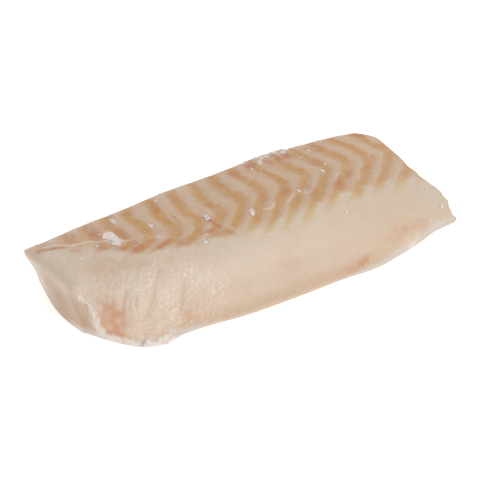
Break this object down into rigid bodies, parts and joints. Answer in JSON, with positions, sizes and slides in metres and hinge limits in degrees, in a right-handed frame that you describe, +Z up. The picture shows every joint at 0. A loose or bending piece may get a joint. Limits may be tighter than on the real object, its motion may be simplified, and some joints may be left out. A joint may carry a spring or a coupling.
{
  "type": "cod loin fillet",
  "caption": "Thick raw skinless cod loin fillet with V-shaped muscle bands, a sloping pale side, square-cut left end, thin right end and frost crumbs.",
  "frame": {"origin": "middle of the bounding box's underside, on the surface that the fillet lies on", "axes": "+X along the fillet from its square-cut end to its thin end, +Y to the straight back cut, +Z up through the skinned side"},
  "size_m": [0.2132, 0.0858, 0.0318],
  "materials": {
    "cod_flesh": "moist translucent pale flesh with tan muscle bands and white frost"
  },
  "bodies": {
    "root": {"cod_fillet": "cod_flesh"}
  },
  "joints": []
}
